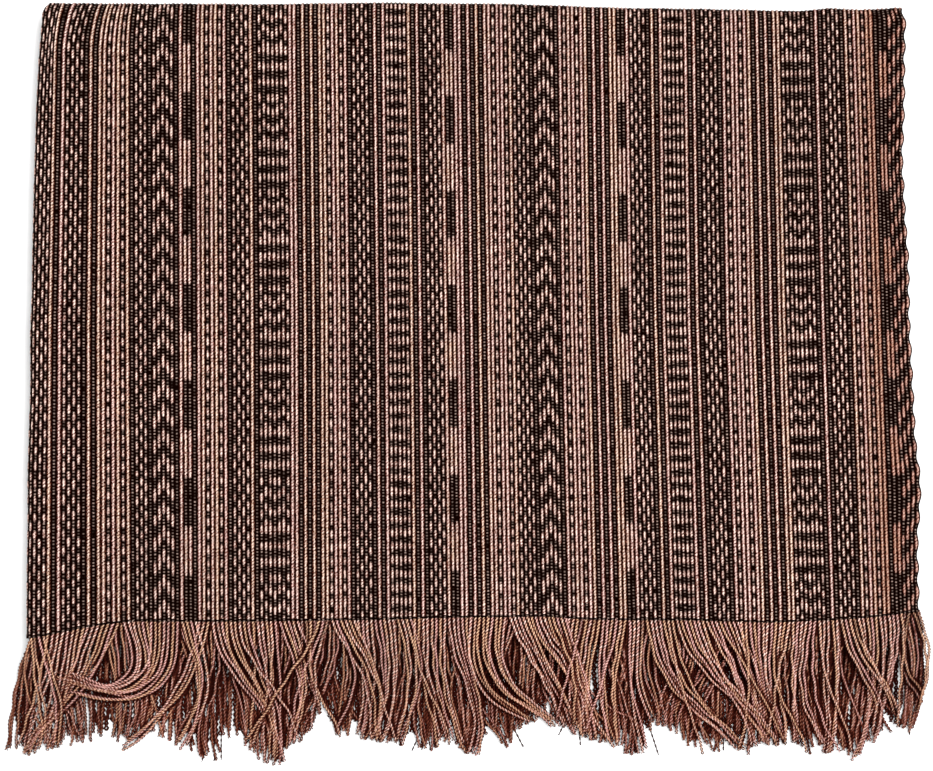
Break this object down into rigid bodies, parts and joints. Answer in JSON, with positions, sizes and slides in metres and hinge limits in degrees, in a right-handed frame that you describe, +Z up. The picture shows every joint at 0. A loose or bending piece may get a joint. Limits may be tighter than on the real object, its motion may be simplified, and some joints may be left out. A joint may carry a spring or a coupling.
{
  "type": "folded fringed scarf",
  "caption": "Woven scarf with narrow patterned stripes, folded into a flat rectangle that rests on a surface, with both fringed ends along one side.",
  "frame": {"origin": "middle of the footprint, fringe included, on the surface that the folded scarf lies on", "axes": "+Z up off the surface; +X from the lengthwise fold towards the selvedges; +Y from the fringe towards the top fold"},
  "size_m": [0.3694, 0.3032, 0.021],
  "materials": {
    "striped_weave": "matte woven stripes in dark brown and pale copper yarn",
    "fringe_yarn": "twisted yarn with a soft sheen"
  },
  "bodies": {
    "root": {"front_panel": "striped_weave", "folded_layers": "striped_weave", "fringe_upper": "fringe_yarn", "fringe_lower": "fringe_yarn"}
  },
  "joints": []
}
